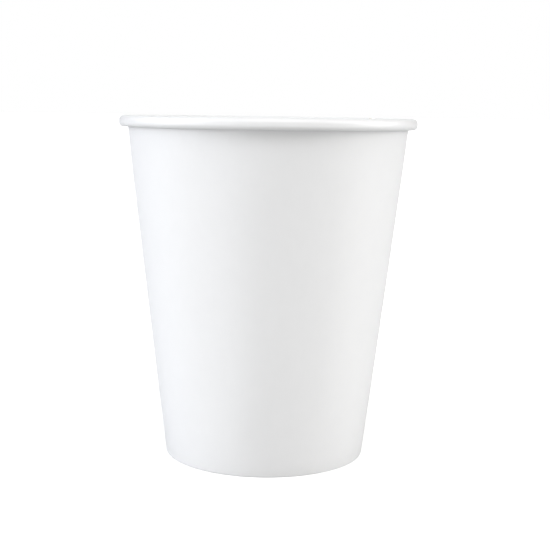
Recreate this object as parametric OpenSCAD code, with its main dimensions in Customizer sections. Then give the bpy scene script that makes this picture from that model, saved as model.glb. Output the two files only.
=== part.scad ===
// Single-wall paper cup for hot drinks, built as the real one is: from two pieces of board.
// The side wall is one fan-shaped sheet, wrapped into a cone and lapped on itself. Its top
// edge is rolled outwards into the rim, and its bottom edge is turned in and up, round the
// skirt of the pressed base, which it holds.
// Sizes are in millimetres. The cup stands on the plane z = 0 and its axis is Z.

/* [Cup] */
// Outer diameter across the rolled rim
rim_d = 80; // [72:0.5:100]
// Height from the table to the top of the rim
cup_h = 92; // [60:0.5:140]
// Outer diameter of the side wall at the table
foot_d = 54.5; // [44:0.5:62]

/* [Side wall] */
// Thickness of the side wall's board
wall_t = 0.33; // [0.24:0.01:0.4]
// Width of the rolled rim in section, with the wall that it springs from
curl_w = 2.5; // [2.4:0.1:2.9]
// Height of the rolled rim in section
curl_h = 2.9; // [2.9:0.1:3.8]
// Angle through which the edge is rolled, counted from the straight wall
curl_turn = 390; // [300:5:400]
// Height of the edge that is turned in and up, round the skirt
turn_in_h = 6; // [3:0.5:7]
// Inner radius of the two creases at the foot
crease_r = 0.05; // [0.03:0.01:0.1]

/* [Side seam] */
// Width of the overlap, measured round the rim
lap_w = 7; // [4:0.5:12]
// Distance round the rim over which the sheet climbs onto its own edge
climb_w = 3; // [2:0.5:6]
// Where the sheet's inner edge lies, counted round from +X
seam_angle = 40; // [10:1:340]

/* [Base] */
// Thickness of the base's board
base_t = 0.28; // [0.2:0.01:0.36]
// Height of the base's drinking face above the table
base_z = 8.5; // [8:0.5:16]
// Outer radius of the bend between the base and its skirt
bend_r = 0.8; // [0.5:0.1:1.2]
// Film that seals the skirt into its pocket, on each side of the skirt
seal_t = 0.02; // [0.01:0.01:0.05]
// Space left under the skirt's lower edge
skirt_gap = 0.3; // [0.1:0.1:1]

/* [Hidden] */
$fn = 60;

// Largest turn between two points of a bend
BEND_STEP = 20;
// Direction at which the roll tightens, so that its end passes inside the wall
TUCK_ANGLE = -45;
// Room between the roll's tucked end and the lapped wall that it lies against
TUCK_GAP = 0.05;

curl_r = curl_w / 2;
top_c = [rim_d / 2 - curl_r, cup_h - curl_r];
tuck_in = (2 * wall_t + TUCK_GAP) / (1 + cos(TUCK_ANGLE));
tuck_r = curl_r - tuck_in;
tuck_c = [top_c.x + tuck_in * cos(TUCK_ANGLE), cup_h - curl_h + tuck_r];
side_c = tuck_c - tuck_in * unit(TUCK_ANGLE);

// The outer face starts at the foot's corner, and the inner face runs into the roll.
foot_to_top = top_c - [foot_d / 2, 0];
taper = atan2(foot_to_top.x, foot_to_top.y) - asin((curl_r - wall_t) / norm(foot_to_top));
pocket = base_t + 2 * seal_t;

// Whole degrees, so that the stretches of the seam meet exactly
lap_angle = round(lap_w / (rim_d / 2) * 180 / PI);
climb_angle = round(climb_w / (rim_d / 2) * 180 / PI);

function unit(a) = [cos(a), sin(a)];
function reversed(list) = [for (i = [len(list) - 1:-1:0]) list[i]];

// Point at height z, at a depth behind the wall's outer face
function in_wall(z, depth) = [foot_d / 2 + z * tan(taper) - depth / cos(taper), z];

// A sheet is drawn through stations, each a point of its first face and the direction of its
// thickness there. On a bend that direction points to the centre (-1) or away from it (1).
function bend(c, r, from, to, side) =
    let (steps = ceil(abs(to - from) / BEND_STEP))
    [for (i = [0:steps]) let (a = from + (to - from) * i / steps) [c + r * unit(a), side * unit(a)]];
function face(stations, depth) = [for (s = stations) s[0] + depth * s[1]];
module sheet(stations, lift, thickness)
    polygon(concat(face(stations, lift), reversed(face(stations, lift + thickness))));

// From the turned-in edge down to the foot, up the wall and round the roll. A foot that is
// thicker, as it is at the seam, has its creases higher, so that it still stands on the table.
function wall_stations(foot_t) =
    let (crease_z = foot_t + crease_r,
         turn_in_c = in_wall(crease_z, wall_t + pocket - crease_r),
         foot_c = in_wall(crease_z, wall_t + crease_r))
    concat(
        [[in_wall(turn_in_h, wall_t + pocket), unit(180 - taper)]],
        bend(turn_in_c, crease_r, 180 - taper, 270, 1),
        bend(foot_c, crease_r, 270, 360 - taper, 1),
        bend(top_c, curl_r, 180 - taper, 90, -1),
        bend(top_c, curl_r, 90, 0, -1),
        bend(side_c, curl_r, 0, TUCK_ANGLE, -1),
        bend(tuck_c, tuck_r, TUCK_ANGLE, 180 - taper - curl_turn, -1));

// Part of the way round, with the sheet lifted off its first face towards the outside
module wall_sector(start, angle, lift, thickness)
    rotate_extrude(start = start, angle = angle)
        sheet(wall_stations(lift + thickness), lift, thickness);

module side_wall()
    color("white") {
        wall_sector(seam_angle + lap_angle, 360 - lap_angle - climb_angle, 0, wall_t);
        for (step = [0:climb_angle - 1])
            wall_sector(
                seam_angle - climb_angle + step,
                1,
                wall_t * (step + 0.5) / climb_angle,
                wall_t);
        wall_sector(seam_angle, lap_angle, 0, 2 * wall_t);
    }

// Flat disc, bent down at its edge into a skirt that lies against the wall's inner face
function base_stations() =
    let (skirt_end = 2 * wall_t + skirt_gap,
         skin = wall_t + seal_t)
    concat(
        [[[0, base_z], [0, -1]]],
        bend(in_wall(base_z - bend_r, skin + bend_r), bend_r, 90, -taper, -1),
        [[in_wall(skirt_end, skin), -unit(-taper)]]);

module base()
    color("whitesmoke")
        rotate_extrude()
            sheet(base_stations(), 0, base_t);

side_wall();
base();
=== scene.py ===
# %% [markdown]
# # A paper cup for hot drinks
# A paper cup looks plain, yet it is made of two pieces of thin board that are bent, lapped
# and rolled. Nearly all of its character sits in three places: the rolled rim, the lapped
# side seam and the folded foot. This lesson builds both boards as meshes with their real
# thickness, gives each face of the board its own finish, and lights the cup softly.
# The first cell loads the engineered model. It fixes where everything is, in metres.

# %% Load the frame
from math import asin, atan2, cos, hypot, radians, sin, tan

import bpy
import numpy as np
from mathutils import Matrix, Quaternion, Vector


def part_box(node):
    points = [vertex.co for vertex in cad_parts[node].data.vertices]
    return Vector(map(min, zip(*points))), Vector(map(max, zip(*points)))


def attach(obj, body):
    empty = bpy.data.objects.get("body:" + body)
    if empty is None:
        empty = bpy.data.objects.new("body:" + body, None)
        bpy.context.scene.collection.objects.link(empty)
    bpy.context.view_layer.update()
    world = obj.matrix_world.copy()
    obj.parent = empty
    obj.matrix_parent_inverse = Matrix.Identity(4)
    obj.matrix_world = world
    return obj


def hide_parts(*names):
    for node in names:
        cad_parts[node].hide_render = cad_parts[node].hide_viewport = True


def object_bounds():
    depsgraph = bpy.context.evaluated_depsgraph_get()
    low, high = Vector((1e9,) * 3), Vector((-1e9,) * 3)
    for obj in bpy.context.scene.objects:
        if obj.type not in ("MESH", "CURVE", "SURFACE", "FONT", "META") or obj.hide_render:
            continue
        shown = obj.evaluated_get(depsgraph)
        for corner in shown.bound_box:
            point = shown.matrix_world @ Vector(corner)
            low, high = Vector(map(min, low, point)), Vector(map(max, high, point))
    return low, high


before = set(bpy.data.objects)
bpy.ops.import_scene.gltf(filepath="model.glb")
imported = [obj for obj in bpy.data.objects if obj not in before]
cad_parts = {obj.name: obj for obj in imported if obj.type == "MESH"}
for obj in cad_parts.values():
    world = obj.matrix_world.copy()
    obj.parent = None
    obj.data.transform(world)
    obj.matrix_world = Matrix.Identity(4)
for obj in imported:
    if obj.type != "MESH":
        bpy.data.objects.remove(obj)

CAD_LOW, CAD_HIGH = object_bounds()
print("nodes:", sorted(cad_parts), "box:", list(CAD_LOW), list(CAD_HIGH))

# %% [markdown]
# ## The sizes that everything follows
# The rim's radius and the cup's height come from the loaded model. The other sizes are the
# board's own: how thick it is, how far it is rolled, and how much of it is turned in at the
# foot. The taper isn't typed in, because it follows from the foot, the rim and the roll: the
# wall is the straight line that leaves the foot and runs smoothly into the roll.

# %% Sizes
MM = 0.001
HALF_TURN = radians(180)
RIM_R = CAD_HIGH.x
CUP_H = CAD_HIGH.z
FOOT_R = 27.25 * MM
BOARD = 0.33 * MM
BASE_BOARD = 0.28 * MM
SEAL = 0.02 * MM
ROLL_R = 1.25 * MM
ROLL_H = 2.9 * MM
ROLL_TURN = radians(390)
TUCK_ANGLE = radians(-45)
TUCK_GAP = 0.05 * MM
CREASE_R = 0.05 * MM
TURN_IN_H = 6.0 * MM

top_c = np.array([RIM_R - ROLL_R, CUP_H - ROLL_R])
run = top_c - [FOOT_R, 0]
TAPER = atan2(run[0], run[1]) - asin((ROLL_R - BOARD) / hypot(*run))
POCKET = BASE_BOARD + 2 * SEAL
print(f"taper {np.degrees(TAPER):.2f} degrees, pocket {POCKET / MM:.2f} mm")

# %% [markdown]
# ## Drawing the board edge on
# Seen edge on, the side wall is one line: up the turned-in flap on the inside of the foot,
# round two tight creases, up the wall and round the roll. Such a line could be drawn by hand
# with a curve, but a fold is a piece of a circle, so each bend here is computed as one.
# Every point carries the direction in which the board is thick. A face of the board is then
# the line moved along those directions, and both faces stay exactly one thickness apart.

# %% Bends and straight runs
TO_CENTRE, FROM_CENTRE = -1, 1


def unit(angle):
    """A direction of length 1 in the edge-on drawing: outwards and up."""
    return np.array([cos(angle), sin(angle)])


def in_wall(z, depth):
    """A point at height z, at a depth behind the wall's outer face."""
    return np.array([FOOT_R + z * tan(TAPER) - depth / cos(TAPER), z])


def bend(centre, radius, start, end, count, side):
    """Points of a bend, and which way the board is thick there: to or from the centre."""
    out = np.array([unit(a) for a in np.linspace(start, end, count)])
    return centre + radius * out, side * out


def straight(start, end, count, direction):
    """Points strictly between two others, all with one thickness direction."""
    steps = np.linspace(0, 1, count + 2)[1:-1, None]
    return start + steps * (end - start), np.tile(direction, (count, 1))


# %% The line of the side wall
FLAP_ROWS = 8
WALL_ROWS = 22
INNER_CREASE_POINTS = 5
OUTER_CREASE_POINTS = 6
ROLL_POINTS = 21
SIDE_POINTS = 6
TUCK_POINTS = 19
SAME_POINT = 1e-7


def wall_line(foot_t):
    """The wall's first face, from the flap's edge to the roll's end, for a foot this thick."""
    tuck_in = (2 * BOARD + TUCK_GAP) / (1 + cos(TUCK_ANGLE))
    tuck_r = ROLL_R - tuck_in
    tuck_c = np.array([top_c[0] + tuck_in * cos(TUCK_ANGLE), CUP_H - ROLL_H + tuck_r])
    side_c = tuck_c - tuck_in * unit(TUCK_ANGLE)
    crease_z = foot_t + CREASE_R
    inner_c = in_wall(crease_z, BOARD + POCKET - CREASE_R)
    outer_c = in_wall(crease_z, BOARD + CREASE_R)
    inside, outside, down = HALF_TURN - TAPER, 2 * HALF_TURN - TAPER, 1.5 * HALF_TURN
    inwards, outwards = unit(inside), unit(-TAPER)
    flap_top = in_wall(TURN_IN_H, BOARD + POCKET)
    parts = [
        (flap_top[None], inwards[None]),
        straight(flap_top, inner_c + CREASE_R * inwards, FLAP_ROWS, inwards),
        bend(inner_c, CREASE_R, inside, down, INNER_CREASE_POINTS, FROM_CENTRE),
        bend(outer_c, CREASE_R, down, outside, OUTER_CREASE_POINTS, FROM_CENTRE),
        straight(outer_c + CREASE_R * outwards, top_c + ROLL_R * inwards, WALL_ROWS, outwards),
        bend(top_c, ROLL_R, inside, 0, ROLL_POINTS, TO_CENTRE),
        bend(side_c, ROLL_R, 0, TUCK_ANGLE, SIDE_POINTS, TO_CENTRE),
        bend(tuck_c, tuck_r, TUCK_ANGLE, inside - ROLL_TURN, TUCK_POINTS, TO_CENTRE),
    ]
    points = np.concatenate([p for p, _ in parts])
    thick = np.concatenate([t for _, t in parts])
    keep = np.r_[True, np.linalg.norm(np.diff(points, axis=0), axis=1) > SAME_POINT]
    return points[keep], thick[keep]


line, _ = wall_line(BOARD)
sheet_length = np.linalg.norm(np.diff(line, axis=0), axis=1).sum()
print(f"the board is {sheet_length / MM:.1f} mm from edge to edge, in {len(line)} points")

# %% [markdown]
# ## Wrapping the board, with its lapped seam
# The board goes once round the cup and a little further. Its inner edge lies against the
# cup, and on coming round, the board climbs over that edge and lies on itself. One long grid
# of points does this: each column has its own lift off the cup and its own foot, and the lap
# keeps a film's thickness between the layers, as the melted seam does. A ring closed with a
# bump would be simpler, but would have no cut edges, and those catch the light.

# %% Columns round the cup
SEAM = radians(40)
LAP = radians(10)
CLIMB = radians(4)
CLIMB_DONE = 0.92
FILM = 0.01 * MM
COLUMNS = 450


def ease(x):
    """0 below 0, 1 above 1, and a smooth rise between."""
    x = np.clip(x, 0, 1)
    return x * x * (3 - 2 * x)


around = np.linspace(SEAM, SEAM + 2 * HALF_TURN + LAP, COLUMNS)
climb_start = SEAM + 2 * HALF_TURN - CLIMB
lift = (BOARD + FILM) * ease((around - climb_start) / (CLIMB * CLIMB_DONE))
stands_on_lap = 1 - ease((around - (SEAM + LAP)) / CLIMB)
foot_t = BOARD + lift + (BOARD + FILM) * stands_on_lap
column_gap = (around[1] - around[0]) * RIM_R
print(f"{COLUMNS} columns, {column_gap / MM:.2f} mm apart at the rim")

# %% [markdown]
# ## What the machines leave in the board
# Board isn't a perfect cone. A wrapped sheet keeps long, shallow waves, up to a third of a
# millimetre from crest to trough, which run from rim to foot and turn the shade of a soft
# light into bands. They fade out where the base and the roll hold the board in shape. At the
# foot, a ribbed wheel presses the turned-in flap onto the base, and leaves a band of upright
# ribs. A bump texture could fake both, but real points also show in profile and survive an
# export.

# %% Waves
WAVE = 0.12 * MM
WAVE_LOW = 10 * MM
WAVE_HIGH = CUP_H - ROLL_H - 1.5 * MM
WAVE_FADE = 7 * MM
# For each ripple: how many go round the cup, where they start and their share
RIPPLES = ((9, 2.39, 1.0), (5, 1.39, 0.3))
DRIFT_COUNT, DRIFT_LEAN, DRIFT_SHARE = 7, 30, 0.1


def waves(angle, z):
    """How far the wall stands out or in, fading out towards the foot and the roll."""
    up = ease((z - WAVE_LOW) / WAVE_FADE) * ease((WAVE_HIGH - z) / WAVE_FADE)
    ripple = sum(share * np.cos(count * angle + start) for count, start, share in RIPPLES)
    drift = DRIFT_SHARE * np.cos(DRIFT_COUNT * angle + DRIFT_LEAN * z)
    return WAVE * up * (ripple + drift)


half_way_up = waves(around, CUP_H / 2)
print(f"the waves stand {half_way_up.min() / MM:.2f} to {half_way_up.max() / MM:.2f} mm out")

# %% Ribs
RIB_H = 0.08 * MM
RIBS = 90
RIB_LOW = 1.2 * MM
RIB_HIGH = TURN_IN_H - 0.6 * MM
RIB_FADE = 0.6 * MM


def ribs(angle, z):
    """How far the wheel's ribs raise the flap towards the axis."""
    up = ease((z - RIB_LOW) / RIB_FADE) * ease((RIB_HIGH - z) / RIB_FADE)
    return RIB_H * up * (0.5 + 0.5 * np.cos(RIBS * angle))


print(f"{RIBS} ribs, {RIB_H / MM:.2f} mm high")

# %% [markdown]
# ## From columns to a mesh
# The grid becomes a mesh with two faces and four narrow edges, closed all round like a real
# sheet. It is built straight from its points, since a Solidify modifier would lose the exact
# gaps in the pocket and the roll. Three finishes are kept apart by face: the film side, the
# plain side, and the cut edges that show the raw board.

# %% Build a closed sheet
FILM_SIDE, PLAIN_SIDE, CUT_EDGE = 0, 1, 2
SHARP_FROM = radians(50)


def sheet_mesh(name, first, second):
    """A closed mesh between two grids of points, each (columns, rows, 3)."""
    cols, rows = first.shape[:2]
    index = np.arange(cols * rows).reshape(cols, rows)
    a, b = index[:-1, :-1].ravel(), index[1:, :-1].ravel()
    c, d = index[1:, 1:].ravel(), index[:-1, 1:].ravel()
    under = cols * rows
    film = np.stack([a, d, c, b], axis=1)
    plain = np.stack([a, b, c, d], axis=1) + under
    loop = np.concatenate([index[:-1, 0], index[-1, :-1], index[:0:-1, -1], index[0, :0:-1]])
    ahead = np.roll(loop, -1)
    edge = np.stack([loop, ahead, ahead + under, loop + under], axis=1)
    mesh = bpy.data.meshes.new(name)
    points = np.concatenate([first.reshape(-1, 3), second.reshape(-1, 3)])
    faces = np.concatenate([film, plain, edge])
    mesh.from_pydata(points.tolist(), [], faces.tolist())
    finish = np.repeat([FILM_SIDE, PLAIN_SIDE, CUT_EDGE], [len(film), len(plain), len(edge)])
    mesh.polygons.foreach_set("material_index", finish.astype(np.int32))
    mesh.shade_smooth()
    mesh.set_sharp_from_angle(angle=SHARP_FROM)
    mesh.update()
    return mesh


def on_axis(radius, angle, z):
    """Points round the cup's axis, from radius, angle and height."""
    return np.stack([radius * np.cos(angle), radius * np.sin(angle), z], axis=-1)


# %% The side wall
def wall_face(extra):
    """One face of the side wall, at a depth of lift plus extra below its first line."""
    grid = []
    for angle, up, foot in zip(around, lift, foot_t):
        points, thick = wall_line(foot)
        points = points + (up + extra) * thick
        on_flap = np.arange(len(points)) <= FLAP_ROWS
        z = points[:, 1]
        push = np.where(on_flap, -ribs(angle, z), waves(angle, z))
        grid.append(on_axis(points[:, 0] + push, angle, z))
    return np.array(grid)


wall_mesh = sheet_mesh("side_wall_board", wall_face(0), wall_face(BOARD))
side_wall = bpy.data.objects.new("side_wall_board", wall_mesh)
bpy.context.collection.objects.link(side_wall)
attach(side_wall, "root")
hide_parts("side_wall")
print("side wall:", len(wall_mesh.polygons), "faces")

# %% [markdown]
# ## The base
# The base is a disc pressed into a shallow lid shape: its skirt goes down into the folded
# foot. The disc sags very slightly in the middle, because the skirt is gripped all round and
# the board can only relax there. A revolve of its edge-on line gives it, and the middle is
# closed with one ring of triangles.

# %% The line of the base
BASE_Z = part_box("base")[1].z
SKIRT_END = 2 * BOARD + 0.3 * MM
BEND_R = 0.8 * MM
BEND_POINTS = 8
SKIRT_ROWS = 3
DISC_ROWS = 12
SAG = 0.12 * MM


def base_line():
    """The base's upper face, from near its middle to the end of its skirt."""
    skin = BOARD + SEAL
    bend_c = in_wall(BASE_Z - BEND_R, skin + BEND_R)
    radii = np.linspace(0, bend_c[0], DISC_ROWS + 1)[1:-1]
    disc = np.stack([radii, BASE_Z - SAG * np.cos(np.pi / 2 * radii / bend_c[0]) ** 2], axis=1)
    down = np.tile([0.0, -1.0], (len(radii), 1))
    around_bend = bend(bend_c, BEND_R, HALF_TURN / 2, -TAPER, BEND_POINTS, TO_CENTRE)
    skirt_end = in_wall(SKIRT_END, skin)
    skirt = straight(around_bend[0][-1], skirt_end, SKIRT_ROWS, -unit(-TAPER))
    points = np.concatenate([disc, around_bend[0], skirt[0], skirt_end[None]])
    thick = np.concatenate([down, around_bend[1], skirt[1], -unit(-TAPER)[None]])
    return points, thick


print("the base's line has", len(base_line()[0]), "points")

# %% Revolve the base
BASE_COLUMNS = 360


def base_mesh():
    """The base's two faces carried round the axis, closed in the middle and at the edge."""
    points, thick = base_line()
    angles = np.linspace(0, 2 * HALF_TURN, BASE_COLUMNS, endpoint=False)
    rows = len(points)
    corners, faces, finish = [], [], []
    for depth in (0, BASE_BOARD):
        ring = points + depth * thick
        heights = np.tile(ring[:, 1], (BASE_COLUMNS, 1))
        corners.append(on_axis(ring[None, :, 0], angles[:, None], heights).reshape(-1, 3))
        corners.append(np.array([[0, 0, BASE_Z - SAG - depth]]))
    index = np.arange(BASE_COLUMNS * rows).reshape(BASE_COLUMNS, rows)
    ahead = np.roll(index, -1, axis=0)
    under = BASE_COLUMNS * rows + 1
    squares = [index[:, :-1], index[:, 1:], ahead[:, 1:], ahead[:, :-1]]
    top = np.stack(squares, axis=-1).reshape(-1, 4)
    bottom = top[:, ::-1] + under
    last, last_ahead = index[:, -1], ahead[:, -1]
    edge = np.stack([last, last + under, last_ahead + under, last_ahead], axis=-1)
    fan = np.stack([np.full(BASE_COLUMNS, under - 1), index[:, 0], ahead[:, 0]], axis=-1)
    low_fan = fan[:, ::-1] + under
    groups = (top, bottom, edge, fan, low_fan)
    for group, kind in zip(groups, (FILM_SIDE, PLAIN_SIDE, CUT_EDGE, FILM_SIDE, PLAIN_SIDE)):
        faces += group.tolist()
        finish += [kind] * len(group)
    mesh = bpy.data.meshes.new("base_board")
    mesh.from_pydata(np.concatenate(corners).tolist(), [], faces)
    mesh.polygons.foreach_set("material_index", np.array(finish, dtype=np.int32))
    mesh.shade_smooth()
    mesh.set_sharp_from_angle(angle=SHARP_FROM)
    return mesh


base = bpy.data.objects.new("base_board", base_mesh())
bpy.context.collection.objects.link(base)
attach(base, "root")
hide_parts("base")
print("base:", len(base.data.polygons), "faces, drinking face at", round(BASE_Z / MM, 2), "mm")

# %% [markdown]
# ## The finish of the board
# Cup board is white, but never evenly white: its fibres lie in soft clouds and in faint
# streaks along the sheet, and the surface rises and dips with them. The outside is plain
# board, almost matt. The inside carries a waterproof film, and since the board is rolled
# outwards at the rim, the film also covers the rim, which gleams more than the wall. All
# finishes are one recipe with other numbers. Noise in the piece's own coordinates is enough:
# a picture of paper would need unwrapping, and would show its seams on a cone.

# %% Noise over a piece
# For each noise: its scale and its detail
CLOUDS, STREAKS, GLOSS, MOTTLE, GRAIN = (260, 4), (1400, 3), (520, 3), (700, 2), (2200, 3)


def noise(nodes, links, place, scale, detail):
    """Soft noise from 0 to 1, in lumps of about 1 / scale of a metre."""
    texture = nodes.new("ShaderNodeTexNoise")
    texture.inputs["Scale"].default_value = scale
    texture.inputs["Detail"].default_value = detail
    links.new(place, texture.inputs["Vector"])
    return texture.outputs["Fac"]


# %% Fibres in the colour
STREAK_STRETCH = (1, 1, 0.1)
STREAK_SHARE = 0.35


def fibre_colour(nodes, links, place, light, shade):
    """A white that wanders between two colours, in clouds and in streaks along the sheet."""
    along = nodes.new("ShaderNodeVectorMath")
    along.operation = "MULTIPLY"
    along.inputs[1].default_value = STREAK_STRETCH
    links.new(place, along.inputs[0])
    fibres = nodes.new("ShaderNodeMix")
    fibres.inputs["Factor"].default_value = STREAK_SHARE
    links.new(noise(nodes, links, place, *CLOUDS), fibres.inputs["A"])
    links.new(noise(nodes, links, along.outputs["Vector"], *STREAKS), fibres.inputs["B"])
    colour = nodes.new("ShaderNodeMix")
    colour.data_type = "RGBA"
    colour.inputs["A"].default_value = (*shade, 1)
    colour.inputs["B"].default_value = (*light, 1)
    links.new(fibres.outputs["Result"], colour.inputs["Factor"])
    return colour.outputs["Result"]


# %% Uneven gloss
GLOSS_FROM, GLOSS_TO = 0.3, 0.7


def uneven_gloss(nodes, links, place, roughness, spread):
    """A roughness that wanders by a spread to either side."""
    gloss = nodes.new("ShaderNodeMapRange")
    gloss.inputs["From Min"].default_value = GLOSS_FROM
    gloss.inputs["From Max"].default_value = GLOSS_TO
    gloss.inputs["To Min"].default_value = roughness - spread
    gloss.inputs["To Max"].default_value = roughness + spread
    links.new(noise(nodes, links, place, *GLOSS), gloss.inputs["Value"])
    return gloss.outputs["Result"]


# %% Mottle and grain
MOTTLE_STRENGTH = 0.5
GRAIN_STRENGTH = 0.6


def relief(nodes, links, height, strength, distance):
    """A bump whose rises and dips follow a noise."""
    bump = nodes.new("ShaderNodeBump")
    bump.inputs["Strength"].default_value = strength
    bump.inputs["Distance"].default_value = distance
    links.new(height, bump.inputs["Height"])
    return bump


# %% Board materials
def board_material(name, light, shade, roughness, spread, mottle_height, grain_height):
    """White board: clouds and streaks between two colours, uneven gloss, mottle and grain."""
    material = bpy.data.materials.new(name)
    material.use_nodes = True
    nodes, links = material.node_tree.nodes, material.node_tree.links
    shader = nodes["Principled BSDF"]
    place = nodes.new("ShaderNodeTexCoord").outputs["Object"]
    colour = fibre_colour(nodes, links, place, light, shade)
    links.new(colour, shader.inputs["Base Color"])
    gloss = uneven_gloss(nodes, links, place, roughness, spread)
    links.new(gloss, shader.inputs["Roughness"])
    lumps = noise(nodes, links, place, *MOTTLE)
    mottle = relief(nodes, links, lumps, MOTTLE_STRENGTH, mottle_height)
    specks = noise(nodes, links, place, *GRAIN)
    grain = relief(nodes, links, specks, GRAIN_STRENGTH, grain_height)
    links.new(mottle.outputs["Normal"], grain.inputs["Normal"])
    links.new(grain.outputs["Normal"], shader.inputs["Normal"])
    return material


# %% The three finishes
FILM_WHITE, FILM_SHADE = (0.882, 0.886, 0.888), (0.852, 0.857, 0.862)
PLAIN_WHITE, PLAIN_SHADE = (0.876, 0.879, 0.885), (0.842, 0.846, 0.853)
RAW_WHITE, RAW_SHADE = (0.80, 0.79, 0.76), (0.70, 0.68, 0.64)

film_board = board_material(
    "film_board", FILM_WHITE, FILM_SHADE, roughness=0.30, spread=0.01,
    mottle_height=0.003 * MM, grain_height=0.005 * MM)
plain_board = board_material(
    "plain_board", PLAIN_WHITE, PLAIN_SHADE, roughness=0.52, spread=0.04,
    mottle_height=0.02 * MM, grain_height=0.012 * MM)
raw_edge = board_material(
    "raw_edge", RAW_WHITE, RAW_SHADE, roughness=0.80, spread=0.06,
    mottle_height=0.02 * MM, grain_height=0.03 * MM)
for piece in (side_wall, base):
    for material in (film_board, plain_board, raw_edge):
        piece.data.materials.append(material)
print("finishes:", [m.name for m in side_wall.data.materials])

# %% [markdown]
# ## The camera
# The cup was seen from about thirty centimetres away, just above the height of its rim. The
# rim is therefore almost a straight line, while the foot, well below the eye, curves clearly.
# The numbers were fitted to the cup's outline: the edges of the wall, both ends of the rim
# and the arc of the foot. The camera looks down a little and is rolled by almost a degree.

# %% Camera
VIEW_DISTANCE = 0.3138
VIEW_HEIGHT = 0.0935
LOOK_DOWN = radians(8.08)
LOOK_RIGHT = radians(0.435)
ROLL = radians(0.85)
LENS = 75.42
NEAREST = 0.01

lens = bpy.data.cameras.new("camera")
lens.lens = LENS
lens.clip_start = NEAREST
camera = bpy.data.objects.new("camera", lens)
bpy.context.collection.objects.link(camera)
camera.location = (0, -VIEW_DISTANCE, VIEW_HEIGHT)
across, ahead = sin(LOOK_RIGHT) * cos(LOOK_DOWN), cos(LOOK_RIGHT) * cos(LOOK_DOWN)
aim = Vector((across, ahead, -sin(LOOK_DOWN)))
camera.rotation_mode = "QUATERNION"
camera.rotation_quaternion = aim.to_track_quat("-Z", "Y") @ Quaternion((0, 0, 1), ROLL)
bpy.context.scene.camera = camera
print("camera at", [round(v, 4) for v in camera.location], "m, lens", LENS, "mm")

# %% [markdown]
# ## The floor
# The cup stands on a floor that runs on as far as the eye can see, so no edge shows behind
# it. White paper throws much light back up, and a cup on it would lose the shade at its foot
# and under its rim. A photographer would lay grey card under the cup and clean the picture up
# to white later. The floor does both: it is matt and grey, darker round the foot than far
# out, and a lift that only the camera sees makes it plain white.

# %% Floor
FLOOR_R = 20
FLOOR_CORNERS = 96

bpy.ops.mesh.primitive_circle_add(
    vertices=FLOOR_CORNERS, radius=FLOOR_R, fill_type="NGON", location=(0, 0, 0))
floor = bpy.context.object
floor.name = "floor"
print("floor:", FLOOR_R, "m to each side")

# %% Floor paint
FLOOR_ROUGHNESS = 0.9
CARD_GREY = 0.41
FLOOR_GREY = 0.60
CARD_R = 34 * MM
FLOOR_FROM = 90 * MM
CAMERA_LIFT = 0.78

floor_paint = bpy.data.materials.new("floor_paint")
floor_paint.use_nodes = True
nodes, links = floor_paint.node_tree.nodes, floor_paint.node_tree.links
card = nodes["Principled BSDF"]
card.inputs["Roughness"].default_value = FLOOR_ROUGHNESS
card.inputs["Specular IOR Level"].default_value = 0
card.inputs["Emission Color"].default_value = (1, 1, 1, 1)
out = nodes.new("ShaderNodeVectorMath")
out.operation = "LENGTH"
links.new(nodes.new("ShaderNodeTexCoord").outputs["Object"], out.inputs[0])
grey = nodes.new("ShaderNodeMapRange")
grey.inputs["From Min"].default_value = CARD_R
grey.inputs["From Max"].default_value = FLOOR_FROM
grey.inputs["To Min"].default_value = CARD_GREY
grey.inputs["To Max"].default_value = FLOOR_GREY
links.new(out.outputs["Value"], grey.inputs["Value"])
links.new(grey.outputs["Result"], card.inputs["Base Color"])
seen = nodes.new("ShaderNodeMath")
seen.operation = "MULTIPLY"
seen.inputs[1].default_value = CAMERA_LIFT
links.new(nodes.new("ShaderNodeLightPath").outputs["Is Camera Ray"], seen.inputs[0])
links.new(seen.outputs["Value"], card.inputs["Emission Strength"])
floor.data.materials.append(floor_paint)
print("floor grey", CARD_GREY, "under the cup and", FLOOR_GREY, "far out")

# %% [markdown]
# ## The light
# White on white lives by its shades, so the light is built from broad, soft panels round the
# cup, with less light between them. Lamps would do, but a world shader is simpler and costs
# no noise: each panel is a glow that is full in one direction and fades smoothly away from
# it. The sides are bright, the left a little cool, and the gap in front draws the soft dark
# band down the wall. The strong panel high in front throws the roll's shade on the wall
# below it. The one behind is weak, so that the far side isn't black when the cup is turned.
# The camera itself sees plain white in place of the panels.

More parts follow.
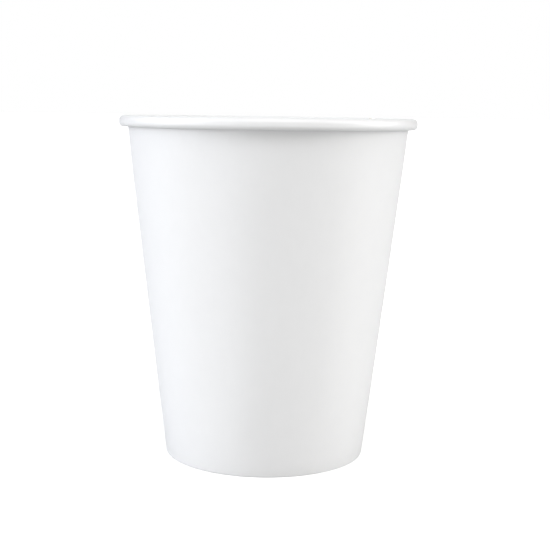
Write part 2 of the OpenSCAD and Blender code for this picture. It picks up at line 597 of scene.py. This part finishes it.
# %% A panel of light
# For each panel: the way round from the camera and the height in degrees, how tightly its
# glow is gathered, and its light
PANELS = {
    "left": (-90, 8, 30, (5.90, 6.20, 6.80)),
    "left front": (-65, 8, 30, (6.13, 6.15, 6.14)),
    "left above": (-60, 38, 30, (3.29, 3.30, 3.42)),
    "right": (90, 8, 30, (10.95, 10.85, 10.65)),
    "right above": (60, 38, 30, (3.55, 3.55, 3.61)),
    "front": (0, 8, 12, (1.07, 1.04, 0.95)),
    "front above": (0, 60, 30, (6.26, 6.25, 6.21)),
    "behind": (180, 20, 12, (0.95, 0.95, 0.95)),
}

world = bpy.data.worlds.new("studio")
bpy.context.scene.world = world
world.use_nodes = True
nodes, links = world.node_tree.nodes, world.node_tree.links
looking = nodes.new("ShaderNodeTexCoord").outputs["Generated"]


def panel(way_round, height, gathered, light):
    """A soft glow in one direction of the sky, as a colour."""
    a, h = radians(way_round), radians(height)
    nearness = nodes.new("ShaderNodeVectorMath")
    nearness.operation = "DOT_PRODUCT"
    nearness.inputs[1].default_value = (sin(a) * cos(h), -cos(a) * cos(h), sin(h))
    links.new(looking, nearness.inputs[0])
    fade = nodes.new("ShaderNodeMath")
    fade.operation = "MULTIPLY_ADD"
    fade.inputs[1].default_value = gathered
    fade.inputs[2].default_value = -gathered
    links.new(nearness.outputs["Value"], fade.inputs[0])
    glow = nodes.new("ShaderNodeMath")
    glow.operation = "EXPONENT"
    links.new(fade.outputs["Value"], glow.inputs[0])
    colour = nodes.new("ShaderNodeVectorMath")
    colour.operation = "SCALE"
    colour.inputs[0].default_value = light
    links.new(glow.outputs["Value"], colour.inputs["Scale"])
    return colour.outputs["Vector"]


# %% All the panels together
total = None
for place_and_light in PANELS.values():
    this = panel(*place_and_light)
    if total is None:
        total = this
        continue
    both = nodes.new("ShaderNodeVectorMath")
    links.new(total, both.inputs[0])
    links.new(this, both.inputs[1])
    total = both.outputs["Vector"]

room = nodes.new("ShaderNodeMix")
room.data_type = "RGBA"
room.inputs["B"].default_value = (1, 1, 1, 1)
links.new(nodes.new("ShaderNodeLightPath").outputs["Is Camera Ray"], room.inputs["Factor"])
links.new(total, room.inputs["A"])
links.new(room.outputs["Result"], nodes["Background"].inputs["Color"])
bpy.context.scene.view_settings.view_transform = "Standard"
print("panels:", ", ".join(PANELS))
